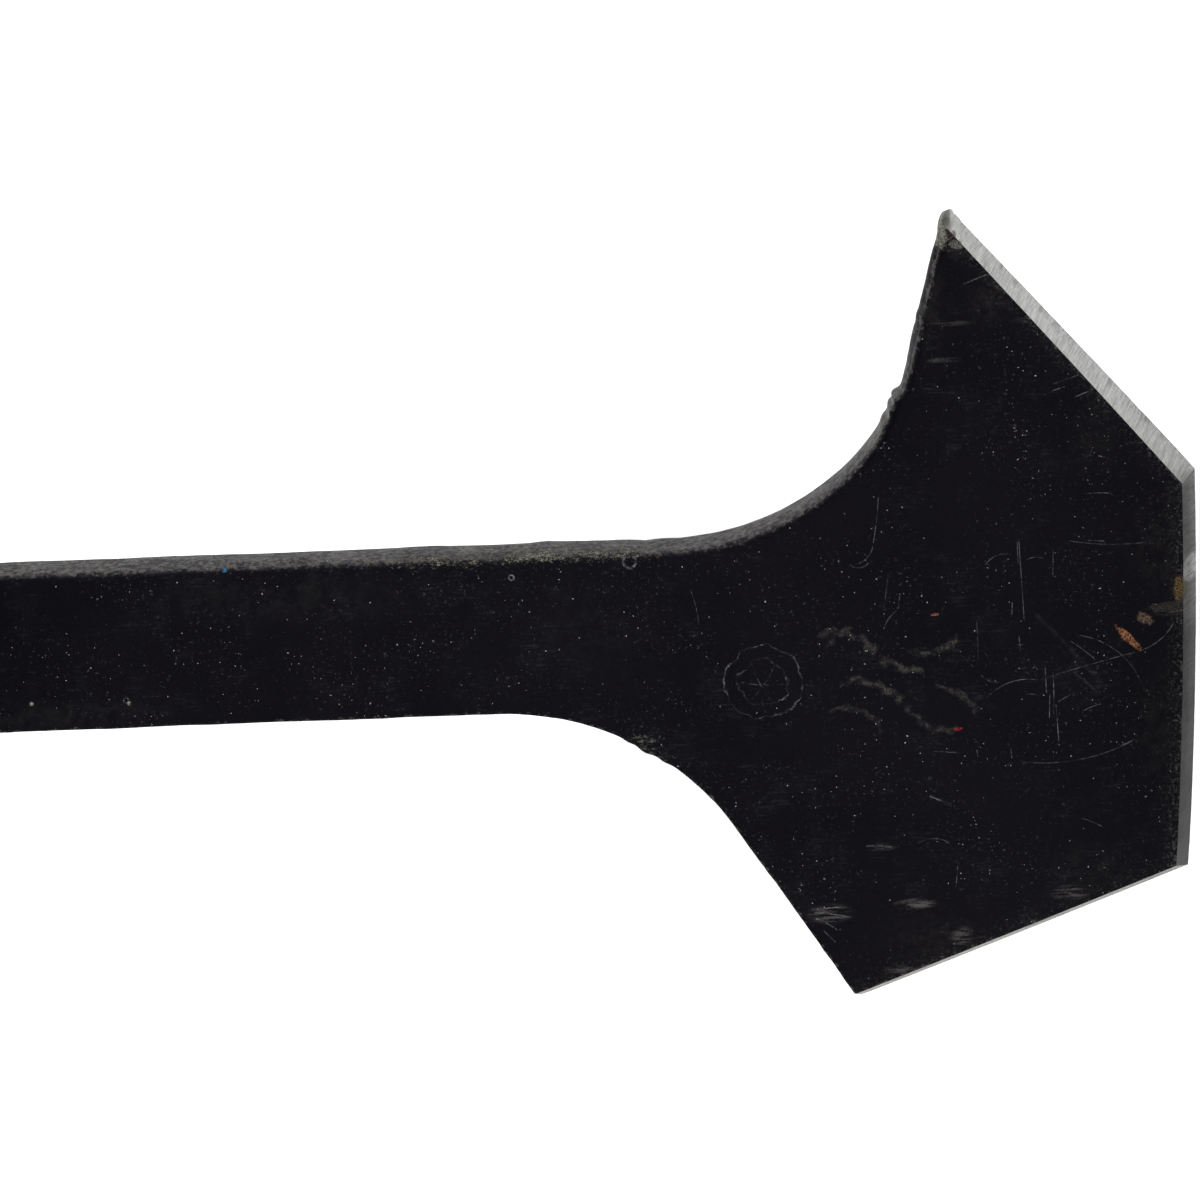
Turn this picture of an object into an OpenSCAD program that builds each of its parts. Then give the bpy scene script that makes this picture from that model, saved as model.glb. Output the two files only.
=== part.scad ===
// Brick bolster chisel: a forged flat-bar chisel with a lopsided fishtail head that is ground
// on three edges, and a moulded hand guard over its tang. All sizes are in millimetres.
//
// It stands edge down, as it is used. +Z runs up the bar from the front cutting edge to the
// striking face, the ground front face looks along -Y, and the longer tip of the head points
// along +X. The origin is where the bar's centre line meets the line of the front edge.

/* [Bar] */
// Overall length, front cutting edge to striking face
total_l = 300; // [290:5:340]
// Width of the flat bar
bar_w = 19.5; // [18.5:0.5:20.5]
// Thickness of the flat bar
bar_t = 6; // [5.5:0.5:7]
// Height at which the bar steps down to the tang inside the grip
tang_z = 164; // [155:1:170]
// Step from the bar down to the tang, each side
tang_step = 0.25; // [0.15:0.05:0.4]
// Chamfer round the striking face
struck_chamfer = 1.2; // [0.6:0.1:1.6]

/* [Head] */
// Right tip: distance of its ground edge from the centre line
right_tip_x = 48.7; // [48.2:0.1:49.2]
// Right tip: height of its ground edge
right_tip_z = 28.9; // [28.4:0.1:29.2]
// Right end of the front edge: distance from the centre line
right_corner_x = 16.2; // [15:0.1:18]
// Right end of the front edge: height
right_corner_z = 1.9; // [1.6:0.1:2.2]
// Left end of the front edge: distance from the centre line
left_corner_x = 32.8; // [31:0.1:34]
// Left end of the front edge: height
left_corner_z = 3.1; // [2.6:0.1:3.4]
// Left tip: distance of its ground edge from the centre line
left_tip_x = 47.8; // [47.4:0.1:48.2]
// Left tip: height of its ground edge
left_tip_z = 41.7; // [41.2:0.1:42]
// Reach of the blunted right tip from the centre line
right_reach = 50.6; // [50.2:0.1:50.8]
// Reach of the blunted left tip from the centre line
left_reach = 49.4; // [49.1:0.1:49.6]
// Height at which the right flank gets to its reach
right_flank_z = 29.3; // [29:0.1:29.6]
// Height at which the left flank gets to its reach
left_flank_z = 41.7; // [41.4:0.1:42]
// Radius of the neck on the right
right_neck_r = 30.5; // [28:0.5:32]
// Radius of the neck on the left
left_neck_r = 33.6; // [31:0.1:35]
// Slope of the right flank, from square to the bar
right_flank_angle = 13.8; // [12:0.1:15]
// Slope of the left flank, from square to the bar
left_flank_angle = 31.6; // [30:0.1:33]

/* [Grinding] */
// Angle between each bevel and the front face
bevel_angle = 62; // [58:1:66]
// Radius of the bow in the front edge
front_bow_r = 700; // [500:50:1500]
// Radius of the much slighter bow in the two side edges
side_bow_r = 3000; // [2000:500:5000]
// Thickness of the head at the front edge
edge_t = 3.5; // [3.2:0.1:3.8]
// Angle at which the back tapers towards the front edge
front_taper = 3.1; // [2.8:0.1:3.4]
// Thickness of both side facets of the back, carried on to the origin
facet_t = 5; // [4.8:0.1:5.2]
// Angle at which the back tapers towards the right tip
right_taper = 4.7; // [4.2:0.1:5]
// Angle at which the right facet thickens up the bar
right_rise = 3.6; // [3:0.1:4]
// Angle at which the back tapers towards the left tip
left_taper = 2.7; // [2.2:0.1:3]
// Angle at which the left facet thickens up the bar
left_rise = 0.6; // [0.4:0.1:1]

/* [Grip] */
// Length of the hard core that is pushed onto the tang
core_l = 114; // [110:1:116]
// Wall of the core beside the tang's narrow faces
core_wall = 3; // [2.5:0.25:3.5]
// Height of the collar at the foot of the core
collar_h = 8; // [7:0.5:10]
// How far the collar stands out from the core
collar_out = 3; // [2.5:0.25:3.5]
// Thickness of the soft cover
cover_wall = 4; // [3.5:0.25:4.5]
// Number of grip grooves in the cover
groove_count = 13; // [9:1:15]
// Depth of a grip groove
groove_depth = 0.9; // [0.6:0.1:1.2]
// Diameter of the spring pin through the collar and the tang
pin_d = 3; // [2.5:0.5:4]

/* [Guard] */
// Height of the underside of the guard's hub
guard_z = 262; // [260:1:263]
// How far the rim stands out from the grip's spine
guard_reach = 24.5; // [22.5:0.5:27]
// Height of the hub
hub_h = 13; // [12:0.5:14]
// Thickness of the rim
rim_t = 4.5; // [4:0.5:5.5]
// How far the rim droops below the underside of the web
rim_drop = 3.5; // [2.5:0.5:4]
// Thickness of the spring-steel retaining plate
plate_t = 1.2; // [1:0.1:1.5]

/* [Hidden] */
$fn = 96;

right_tip = [right_tip_x, right_tip_z];
right_corner = [right_corner_x, right_corner_z];
left_corner = [-left_corner_x, left_corner_z];
left_tip = [-left_tip_x, left_tip_z];

front_y = -bar_t / 2;
tang_w = bar_w - 2 * tang_step;
tang_t = bar_t - 2 * tang_step;
// Half length of the straight spine that every oval of the grip is drawn round
spine = 6.5;
core_r = tang_w / 2 - spine + core_wall;
collar_r = core_r + collar_out;
cover_r = core_r + cover_wall;
cover_z = tang_z + collar_h;
cover_l = guard_z - cover_z;
cover_edge = 1.2;
pin_z = tang_z + collar_h / 2;
pin_l = 2 * collar_r - 1;
pin_wall = 0.5;
pin_slit = 0.6;
plate_z = tang_z + core_l;
web_t = 3;
neck_fn = 180;
bow_fn = 720;
pin_fn = 48;
// How far a cutting tool is carried past the faces that it cuts
clear = 1;
// How far the head is drawn outside the bevels that trim it
margin = 4;
// Side of a block larger than the whole chisel
big = 400;

// Centre of the neck circle that touches the bar's side and a flank that ends at [reach, end_z].
// x grows outwards from the bar's centre line on either side.
function neck_centre(r, angle, reach, end_z) =
    let (x = bar_w / 2 + r)
    [x, end_z + (reach - x) * tan(angle) + r / cos(angle)];

// Point where that circle runs out into the flank.
function flank_start(centre, r, angle) = centre - r * [sin(angle), cos(angle)];

// Plan of one side of the head, from the bar's centre line out to the blunted tip.
module head_side(r, angle, reach, end_z, tip_z, corner_x) {
    centre = neck_centre(r, angle, reach, end_z);
    difference() {
        polygon([
            [-clear, centre[1]], [bar_w / 2, centre[1]], centre, flank_start(centre, r, angle),
            [reach, end_z], [reach, tip_z - margin],
            [corner_x + margin, -margin], [-clear, -margin]
        ]);
        translate(centre) circle(r = r, $fn = neck_fn);
    }
}

// Plan of the bar with both sides of the head, before the edges are ground.
module plan() {
    translate([-bar_w / 2, -clear]) square([bar_w, tang_z + clear]);
    head_side(right_neck_r, right_flank_angle, right_reach, right_flank_z,
              right_tip_z, right_corner_x);
    mirror([1, 0])
        head_side(left_neck_r, left_flank_angle, left_reach, left_flank_z,
                  left_tip_z, left_corner_x);
}

// Everything on the chisel's side of one bevel: a wide cone whose trace on the front face is
// an arc of radius bow_r from a to b, and which widens towards the back.
module ground_edge(a, b, bow_r) {
    chord = norm(b - a);
    inward = [a[1] - b[1], b[0] - a[0]] / chord;
    centre = (a + b) / 2 + inward * sqrt(pow(bow_r, 2) - pow(chord / 2, 2));
    depth = bar_t + 2 * clear;
    translate([centre[0], front_y - clear, centre[1]])
        rotate([-90, 0, 0])
            cylinder(h = depth, r1 = bow_r - clear / tan(bevel_angle),
                     r2 = bow_r + (depth - clear) / tan(bevel_angle), $fn = bow_fn);
}

// Everything in front of one facet of the back: thickness t on the origin, falling by
// taper degrees along +X and growing by rise degrees along +Z.
module back_facet(t, taper, rise) {
    translate([0, front_y + t, 0])
        rotate([-rise, 0, -taper])
            translate([-big / 2, -big, -big / 2]) cube([big, big, big]);
}

// Solid turned round both ends of the grip's spine and drawn straight between them.
// The profile is a list of [distance from the spine, height].
module oval_solid(profile) {
    for (side = [-1, 1])
        translate([side * spine, 0, 0]) rotate_extrude() polygon(profile);
    for (side = [0, 1])
        mirror([0, side, 0])
            rotate([90, 0, 90])
                linear_extrude(2 * spine, center = true) polygon(profile);
}

// Straight oval prism that stands r out from the spine.
module oval_prism(r, z, h) {
    translate([0, 0, z]) oval_solid([[0, 0], [r, 0], [r, h], [0, h]]);
}

// Block of the tang's section.
module tang_block(z, h) {
    translate([-tang_w / 2, -tang_t / 2, z]) cube([tang_w, tang_t, h]);
}

// Cross hole for the spring pin.
module pin_bore(l) {
    translate([0, 0, pin_z]) rotate([90, 0, 0]) cylinder(h = l, d = pin_d, center = true, $fn = pin_fn);
}

// Outline of the tang from the side that is w wide, chamfered where it is struck.
module struck_outline(w) {
    c = struck_chamfer;
    polygon([
        [-w / 2, 0], [w / 2, 0], [w / 2, total_l - c],
        [w / 2 - c, total_l], [c - w / 2, total_l], [-w / 2, total_l - c]
    ]);
}

// Bar and head, ground and tapered.
module blade() {
    intersection() {
        translate([0, -front_y, 0]) rotate([90, 0, 0]) linear_extrude(bar_t) plan();
        ground_edge(left_tip, left_corner, side_bow_r);
        ground_edge(left_corner, right_corner, front_bow_r);
        ground_edge(right_corner, right_tip, side_bow_r);
        back_facet(edge_t, 0, front_taper);
        back_facet(facet_t, right_taper, right_rise);
        back_facet(facet_t, -left_taper, left_rise);
    }
}

// Stepped-down end of the bar.
module tang() {
    intersection() {
        tang_block(tang_z - clear, big);
        rotate([90, 0, 0]) linear_extrude(bar_t, center = true) struck_outline(tang_w);
        rotate([90, 0, 90]) linear_extrude(bar_w, center = true) struck_outline(tang_t);
    }
}

// The forged, ground and painted chisel.
module chisel_body() {
    color("#17171a")
    difference() {
        union() {
            blade();
            tang();
        }
        pin_bore(bar_t + 2 * clear);
    }
}

// Hard core: a sleeve over the tang with a collar at its foot.
module grip_core() {
    profile = [
        [0, 0], [collar_r - 1, 0], [collar_r, 1], [collar_r, collar_h - 1],
        [collar_r - 1, collar_h], [core_r, collar_h], [core_r, core_l], [0, core_l]
    ];
    color("#26272b")
    difference() {
        translate([0, 0, tang_z]) oval_solid(profile);
        tang_block(tang_z - clear, core_l + 2 * clear);
        pin_bore(2 * collar_r + 2 * clear);
    }
}

// Corners of one grip groove across the cover, whose middle is at height z.
function groove(z, half) = [
    [cover_r, z - 2 * half], [cover_r - groove_depth, z - half],
    [cover_r - groove_depth, z + half], [cover_r, z + 2 * half]
];

// Soft ribbed cover over the core.
module grip_cover() {
    pitch = cover_l / (groove_count + 2);
    grooves = [for (i = [1 : groove_count]) each groove((i + 0.5) * pitch, 0.22 * pitch)];
    profile = concat(
        [[0, 0], [cover_r - cover_edge, 0], [cover_r, cover_edge]],
        grooves,
        [[cover_r, cover_l], [0, cover_l]]
    );
    color("#3a3d42")
    difference() {
        translate([0, 0, cover_z]) oval_solid(profile);
        oval_prism(core_r, cover_z - clear, cover_l + 2 * clear);
    }
}

// Mushroom guard that keeps the hammer off the hand.
module hand_guard() {
    web_z = hub_h - 2.5 - web_t;
    rim_z = web_z - rim_drop;
    profile = [
        [0, 0], [cover_r + 1, 0], [cover_r + 1.5, web_z - 3], [cover_r + 3, web_z - 2],
        [guard_reach - 3, rim_z - 1], [guard_reach - 1, rim_z - 1.5],
        [guard_reach, rim_z], [guard_reach, rim_z + rim_t - 2],
        [guard_reach - 1.5, rim_z + rim_t], [guard_reach - 7, web_z + web_t],
        [core_r + 5, hub_h], [0, hub_h]
    ];
    color("#3a3d42")
    difference() {
        translate([0, 0, guard_z]) oval_solid(profile);
        oval_prism(core_r, guard_z - clear, hub_h + 2 * clear);
    }
}

// Push-on spring-steel plate that stops the grip creeping up the tang.
module retaining_plate() {
    color("#8d9096")
    difference() {
        oval_prism(core_r + 0.5, plate_z, plate_t);
        tang_block(plate_z - clear, plate_t + 2 * clear);
    }
}

// Rolled spring pin through the collar and the tang, with its slit upwards.
module spring_pin() {
    color("#77797e")
    translate([0, 0, pin_z])
        difference() {
            rotate([90, 0, 0]) cylinder(h = pin_l, d = pin_d, center = true, $fn = pin_fn);
            rotate([90, 0, 0])
                cylinder(h = pin_l + 2 * clear, d = pin_d - 2 * pin_wall, center = true, $fn = pin_fn);
            translate([-pin_slit / 2, -pin_l, 0]) cube([pin_slit, 2 * pin_l, pin_d]);
        }
}

chisel_body();
grip_core();
grip_cover();
hand_guard();
retaining_plate();
spring_pin();
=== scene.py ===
"""Looks of the brick bolster chisel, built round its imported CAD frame.

Lengths in the functions are millimetres in the part's own frame, as (x, z) on the flat of the
chisel or (x, y, z) in space; every mesh is turned into metres when it is made. +Z runs up the
bar from the cutting edge, the ground front face looks along -Y, and the long tip is towards +X.
"""
import math

import bpy
from mathutils import Matrix, Vector, geometry, kdtree, noise


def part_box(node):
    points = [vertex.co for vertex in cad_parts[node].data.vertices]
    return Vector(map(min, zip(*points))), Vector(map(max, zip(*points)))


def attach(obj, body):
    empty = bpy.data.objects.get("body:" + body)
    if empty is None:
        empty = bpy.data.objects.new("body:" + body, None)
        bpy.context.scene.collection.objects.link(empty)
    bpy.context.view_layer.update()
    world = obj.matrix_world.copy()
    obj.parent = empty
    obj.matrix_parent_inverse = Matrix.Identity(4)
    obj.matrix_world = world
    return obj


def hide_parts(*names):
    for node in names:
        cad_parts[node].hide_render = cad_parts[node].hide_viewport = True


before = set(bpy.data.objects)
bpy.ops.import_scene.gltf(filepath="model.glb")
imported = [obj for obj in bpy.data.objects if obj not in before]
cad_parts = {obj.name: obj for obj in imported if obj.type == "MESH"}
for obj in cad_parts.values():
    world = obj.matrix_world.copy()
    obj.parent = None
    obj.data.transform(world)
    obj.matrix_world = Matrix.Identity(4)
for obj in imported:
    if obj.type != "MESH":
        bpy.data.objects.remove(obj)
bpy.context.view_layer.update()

MM = 0.001
SEED = 11.7

# Places read from the frame, in millimetres.
BODY_LO, BODY_HI = (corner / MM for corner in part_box("chisel_body"))
CORE_LO, CORE_HI = (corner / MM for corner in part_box("grip_core"))
COVER_LO, COVER_HI = (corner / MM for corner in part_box("grip_cover"))
GUARD_LO, GUARD_HI = (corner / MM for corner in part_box("hand_guard"))

# The chisel's driving sizes, as in the CAD model.
FRONT_Y = BODY_LO.y
TOTAL_L = BODY_HI.z
BAR_HALF = 9.75
TANG_Z = CORE_LO.z
TANG_STEP = 0.25
TIP_R, CORNER_R = Vector((48.7, 28.9)), Vector((16.2, 1.9))
CORNER_L, TIP_L = Vector((-32.8, 3.1)), Vector((-47.8, 41.7))
NECK_R = {"r": 30.5, "angle": 13.8, "reach": 50.6, "end_z": 29.3}
NECK_L = {"r": 33.6, "angle": 31.6, "reach": 49.4, "end_z": 41.7}
BEVEL_SLOPE = math.tan(math.radians(62))
FRONT_BOW, SIDE_BOW = 700, 3000
LAND = 0.14
TIP_ROUND = {"right": 0.6, "left": 0.8}
BAR_SWELL = 0.2
# The struck end comes out of the grip between these two heights.
GRIP_TOP = (278, 281)
# The mesh is fine below this height and coarser up the bar.
FINE_UNTIL = 80
FLANK_RIDGE = 0.44

# Paint between its darkest and palest.
PAINT_DARK, PAINT_PALE = (0.0012, 0.001, 0.0022), (0.0028, 0.0024, 0.004)


# ---- small helpers

def smooth(low, high, value):
    """0 below low, 1 above high, and an S-curve between."""
    t = min(1, max(0, (value - low) / (high - low)))
    return t * t * (3 - 2 * t)


def bump_at(distance, width):
    """A rounded bump that is 1 at no distance and about 0 at twice the width."""
    return math.exp(-((distance / width) ** 2))


def rough(x, y, z, scale, seed=0):
    """Smooth noise from -1 to 1 whose features are about scale millimetres across."""
    return noise.noise(Vector((x / scale + seed, y / scale + SEED, z / scale - seed)))


def left_of(direction):
    """The direction turned a quarter turn to the left."""
    return Vector((-direction.y, direction.x))


def crossing(p, along_p, q, along_q):
    """Where the line through p meets the line through q."""
    gap = q - p
    turn = along_p.x * along_q.y - along_p.y * along_q.x
    return p + along_p * ((gap.x * along_q.y - gap.y * along_q.x) / turn)


def spaced(a, b, step):
    """Points from a up to but not including b, about step apart."""
    count = max(1, round((b - a).length / step))
    return [a.lerp(b, i / count) for i in range(count)]


def search_tree(points):
    """A tree for finding the flat point nearest to a place."""
    tree = kdtree.KDTree(len(points))
    for i, p in enumerate(points):
        tree.insert((p.x, p.y, 0), i)
    tree.balance()
    return tree


def nearest(tree, p):
    """The number of the tree's point nearest to p, and how far away it is."""
    return tree.find((p.x, p.y, 0))[1:]


def new_mesh(name, vertices, faces, materials, face_slots=None):
    """A smooth-shaded object from vertices in millimetres."""
    mesh = bpy.data.meshes.new(name)
    mesh.from_pydata([(x * MM, y * MM, z * MM) for x, y, z in vertices], [], faces)
    for material in materials:
        mesh.materials.append(material)
    if face_slots:
        mesh.polygons.foreach_set("material_index", face_slots)
    mesh.validate()
    mesh.update()
    mesh.shade_smooth()
    piece = bpy.data.objects.new(name, mesh)
    bpy.context.scene.collection.objects.link(piece)
    return piece


# ---- shader helpers

class Nodes:
    """Short ways to add nodes to one material."""

    def __init__(self, name):
        self.material = bpy.data.materials.new(name)
        self.material.use_nodes = True
        self.tree = self.material.node_tree
        self.tree.nodes.clear()
        self.shader = self.add("ShaderNodeBsdfPrincipled")
        output = self.add("ShaderNodeOutputMaterial")
        self.link(self.shader.outputs[0], output.inputs["Surface"])
        place = self.add("ShaderNodeTexCoord")
        self.mm = self.vector_math("SCALE", place.outputs["Object"], scale=1 / MM)
        self.normal = place.outputs["Normal"]
        self.ragged = None
        self.colour = None

    def add(self, kind, **settings):
        node = self.tree.nodes.new(kind)
        for name, value in settings.items():
            setattr(node, name, value)
        return node

    def link(self, source, socket):
        self.tree.links.new(source, socket)

    def feed(self, socket, value):
        """Links a socket's output, or sets a plain value."""
        if isinstance(value, bpy.types.NodeSocket):
            self.link(value, socket)
        else:
            socket.default_value = value

    def math(self, operation, a, b=0):
        node = self.add("ShaderNodeMath", operation=operation)
        self.feed(node.inputs[0], a)
        self.feed(node.inputs[1], b)
        return node.outputs[0]

    def times(self, a, b):
        return self.math("MULTIPLY", a, b)

    def plus(self, a, b):
        return self.math("ADD", a, b)

    def minus(self, a, b):
        return self.math("SUBTRACT", a, b)

    def vector_math(self, operation, a, b=None, scale=None):
        node = self.add("ShaderNodeVectorMath", operation=operation)
        self.feed(node.inputs[0], a)
        if b is not None:
            self.feed(node.inputs[1], b)
        if scale is not None:
            self.feed(node.inputs["Scale"], scale)
        return node.outputs["Value" if operation in ("LENGTH", "DISTANCE", "DOT_PRODUCT") else "Vector"]

    def ramp(self, value, low, high, to_low=0, to_high=1):
        """An S-curve from to_low at low to to_high at high."""
        node = self.add("ShaderNodeMapRange", interpolation_type="SMOOTHSTEP")
        for socket, given in zip(node.inputs, (value, low, high, to_low, to_high)):
            self.feed(socket, given)
        return node.outputs["Result"]

    def texture(self, kind, place, **values):
        """A texture node at a place, with plain values on its other inputs."""
        node = self.add("ShaderNodeTex" + kind)
        self.link(place, node.inputs["Vector"])
        for name, value in values.items():
            node.inputs[name].default_value = value
        return node

    def noise(self, scale, detail=4, roughness=0.55, stretch=(1, 1, 1), turn=(0, 0, 0), offset=(0, 0, 0)):
        """Noise with features about scale millimetres across, longer along the axes that stretch."""
        place = self.mm
        if any(turn):
            mapping = self.add("ShaderNodeMapping")
            self.link(place, mapping.inputs["Vector"])
            mapping.inputs["Rotation"].default_value = turn
            place = mapping.outputs[0]
        moved = self.vector_math("ADD", place, offset)
        shrink = self.vector_math("DIVIDE", moved, tuple(scale * s for s in stretch))
        return self.texture("Noise", shrink, Scale=1, Detail=detail, Roughness=roughness).outputs["Fac"]

    def shaken(self, place, size, reach):
        """Places moved about by noise of the given size and reach in millimetres."""
        node = self.texture("Noise", self.mm, Scale=1 / size, Detail=1)
        shift = self.vector_math("SUBTRACT", node.outputs["Color"], (0.5, 0.5, 0.5))
        return self.vector_math("ADD", place, self.vector_math("SCALE", shift, scale=reach))

    def specks(self, cell, radius, share, offset=(0, 0, 0), stretch=(1, 1, 1)):
        """Small ragged spots, mostly faint, in some share of cells about cell millimetres across."""
        if self.ragged is None:
            self.ragged = self.shaken(self.mm, 1 / 6, 0.34)
        moved = self.vector_math("DIVIDE", self.vector_math("ADD", self.ragged, offset), stretch)
        node = self.texture("Voronoi", moved, Scale=1 / cell)
        chosen = self.add("ShaderNodeSeparateColor")
        self.link(node.outputs["Color"], chosen.inputs[0])
        spot = self.ramp(node.outputs["Distance"], 0.3 * radius / cell, radius / cell, 1, 0)
        there = self.math("LESS_THAN", chosen.outputs[0], share)
        size = self.times(spot, there)
        return self.times(size, self.ramp(chosen.outputs[1], 0.4, 1, 0.1, 1))

    def blend(self, factor, a, b, kind="FLOAT"):
        """Number a where factor is 0, number b where it is 1."""
        node = self.add("ShaderNodeMix", data_type=kind)
        for name, value in (("Factor", factor), ("A", a), ("B", b)):
            self.feed(node.inputs[name], value)
        return node.outputs["Result"]

    def mix(self, factor, a, b):
        """Colour a where factor is 0, colour b where it is 1."""
        a, b = (c if isinstance(c, bpy.types.NodeSocket) else (*c, 1) for c in (a, b))
        return self.blend(factor, a, b, "RGBA")

    def coat(self, tint, mask, strength=None):
        """Lays a tint over the colour so far, by mask times strength."""
        if strength is not None:
            mask = self.times(mask, strength)
        self.colour = self.mix(mask, self.colour, tint)

    def attribute(self, name):
        return self.add("ShaderNodeAttribute", attribute_name=name).outputs["Fac"]

    def bump(self, height, distance, strength=1, before=None):
        """Bump from a height of 0 to 1 that stands for distance millimetres."""
        node = self.add("ShaderNodeBump")
        node.inputs["Strength"].default_value = strength
        node.inputs["Distance"].default_value = distance * MM
        self.link(height, node.inputs["Height"])
        if before is not None:
            self.link(before, node.inputs["Normal"])
        return node.outputs["Normal"]

    def finish(self, colour, roughness, normal, **fixed):
        """Feeds the shader. The fixed values are set on its own sockets."""
        self.feed(self.shader.inputs["Base Color"], colour)
        self.feed(self.shader.inputs["Roughness"], roughness)
        self.link(normal, self.shader.inputs["Normal"])
        for name, value in fixed.items():
            self.shader.inputs[name.replace("_", " ")].default_value = value
        return self.material


# ---- marks on the front face

# Fine scratches: start and end on the face, how far the middle bows to the left, width and strength.
SCRATCHES = [
    # the long S-shaped scratch
    ((-10.3, 25.8), (-8.1, 19.3), 1, 0.09, 0.5), ((-8.1, 19.3), (-4.9, 7.5), 0.1, 0.08, 0.45),
    ((-4.9, 7.5), (-1.2, 3), -0.65, 0.09, 0.55),
    # lines round it
    ((10.3, 21.5), (-0.7, 21), 0, 0.09, 0.42), ((9.8, 21.7), (6.8, 21.6), 0, 0.09, 0.3),
    ((2.1, 22.4), (0.4, 22.5), 0, 0.12, 0.4), ((-2.1, 21.7), (-4.5, 21.5), 0, 0.09, 0.4),
    ((-3.5, 21.9), (-3.5, 21.2), 0, 0.07, 0.4), ((8.6, 17.4), (4.9, 17.5), 0, 0.1, 0.42),
    ((7.2, 20.8), (7.3, 18.4), 0.35, 0.1, 0.4), ((9.6, 15.8), (9, 6.1), -0.4, 0.08, 0.3),
    ((9.5, 13.3), (9.3, 11.2), 0, 0.12, 0.45), ((-2.5, 14.8), (-9.3, 7), 1.5, 0.08, 0.4),
    ((-3.2, 15.6), (-5.8, 12.5), 0.1, 0.09, 0.32), ((1, 20.2), (-9.8, 11.2), 0.2, 0.5, 0.035),
    ((-7, 15.5), (-10.4, 12), 0.1, 0.35, 0.05), ((-6.3, 18.6), (-9.9, 18.5), 0, 0.11, 0.4),
    ((-9.9, 18.1), (-13.1, 18.2), 0, 0.1, 0.45), ((-6.9, 17.7), (-12.7, 17.7), 0.1, 0.1, 0.5),
    ((-11, 17.4), (-16.2, 17.1), 0, 0.1, 0.6), ((-11, 17.2), (-10, 15.4), 0, 0.09, 0.45),
    ((-12.3, 14.2), (-11.4, 11.8), 0.1, 0.09, 0.4), ((-18.4, 22.3), (-16.1, 7.7), -1.3, 0.1, 0.28),
    ((-16.9, 9.6), (-16.1, 7.7), 0, 0.1, 0.4), ((0, 26.7), (-5.4, 26.6), 0, 0.12, 0.14),
    ((-7, 26.4), (-8.1, 23.9), -0.45, 0.1, 0.25), ((-9.8, 21.1), (-9.9, 19.8), 0, 0.09, 0.35),
    ((6.7, 25.6), (8, 22.2), 0.7, 0.12, 0.28), ((-16.6, 22.9), (-18.1, 22.8), 0, 0.12, 0.35),
    ((-16.7, 27), (-17.7, 26.9), 0, 0.12, 0.35),
    # towards the bar
    ((3.8, 35.8), (1.6, 36.1), 0, 0.12, 0.4), ((1.6, 36.1), (-1, 37.9), -0.3, 0.12, 0.3),
    ((6.5, 37.1), (1.7, 37.8), 0, 0.12, 0.16), ((7.5, 41.7), (7.8, 39.4), -0.55, 0.1, 0.4),
    ((16.3, 38.1), (9.9, 38.9), 0.1, 0.1, 0.42), ((9.9, 38.9), (7.5, 41.3), 0.6, 0.1, 0.35),
    ((5.2, 60.9), (0.4, 60), 0.2, 0.1, 0.25), ((-16.7, 32.5), (-17.1, 29), 0, 0.09, 0.35),
    # towards the short tip
    ((-22.5, 33), (-23.7, 30), 0, 0.1, 0.5), ((-22.9, 32.2), (-23.9, 30.2), 0, 0.08, 0.4),
    ((-28.7, 40.8), (-29, 37.3), 0.1, 0.16, 0.25), ((-28.7, 34.4), (-28.9, 30.4), 0.75, 0.14, 0.32),
    ((-26.1, 14.6), (-27.4, 11.9), 0.1, 0.1, 0.25), ((-31.7, 29.6), (-34.8, 29.9), 0, 0.12, 0.35),
    ((-36.8, 47.6), (-36.6, 43.3), 0.1, 0.14, 0.5), ((-37.1, 47.3), (-38, 42.4), 0.1, 0.14, 0.45),
    ((-37.8, 47.1), (-39.6, 44.3), 0.1, 0.12, 0.4), ((-39.5, 46.1), (-41.2, 44.6), 0, 0.14, 0.3),
    # beside the bright bevel
    ((42.1, 27.6), (43.3, 24.5), 0, 0.1, 0.5), ((29.3, 17.1), (30.4, 13.9), 0, 0.1, 0.42),
    ((28.4, 17.4), (29, 15.5), 0, 0.1, 0.42), ((27.6, 14.5), (28.5, 12.2), 0, 0.11, 0.5),
    ((15.4, 13.2), (15.3, 10.2), 0.1, 0.1, 0.42),
]
# Patches rubbed in short strokes up the tool: middle, size across and up, strength.
SCUFFS = [
    ((-36.5, 34.8), (0.9, 3.2), 1), ((-37.4, 45.2), (1.6, 3.4), 0.7), ((-41, 29.2), (1.6, 1.8), 0.7),
    ((-35.8, 16), (1.3, 2.9), 0.7), ((-45, 37), (0.7, 2.2), 0.6), ((-28.9, 38.8), (0.6, 2.6), 0.5),
    ((37.4, 29), (0.5, 3.2), 0.28), ((32.8, 30), (0.6, 2.6), 0.32), ((37.4, 20.2), (0.45, 1.8), 0.3),
    ((0.4, 3.6), (1.2, 3), 0.7),
]
# Brown-grey haze, and a painted sheen where the long tip's rounded flank would catch the light (the long oval
# at 40, 31.6): middle, size across and up, strength.
HAZE_AND_SHEEN = [
    ((40, 24.5), (4.5, 3.5), 0.55), ((40, 31.6), (9.5, 2.4), 0.6), ((46.5, 28), (1.8, 2.6), 0.9),
    ((22, 12.5), (7, 4), 0.3), ((8, 5), (9, 4.5), 0.35), ((-15, 5), (12, 4), 0.35),
    ((-33, 14), (5, 9), 0.35), ((-41, 33), (5, 9), 0.35), ((-8, 136), (2.6, 16), 0.4),
    ((6, 110), (4.5, 26), 0.3), ((0, 72), (9, 10), 0.2),
]
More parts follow.
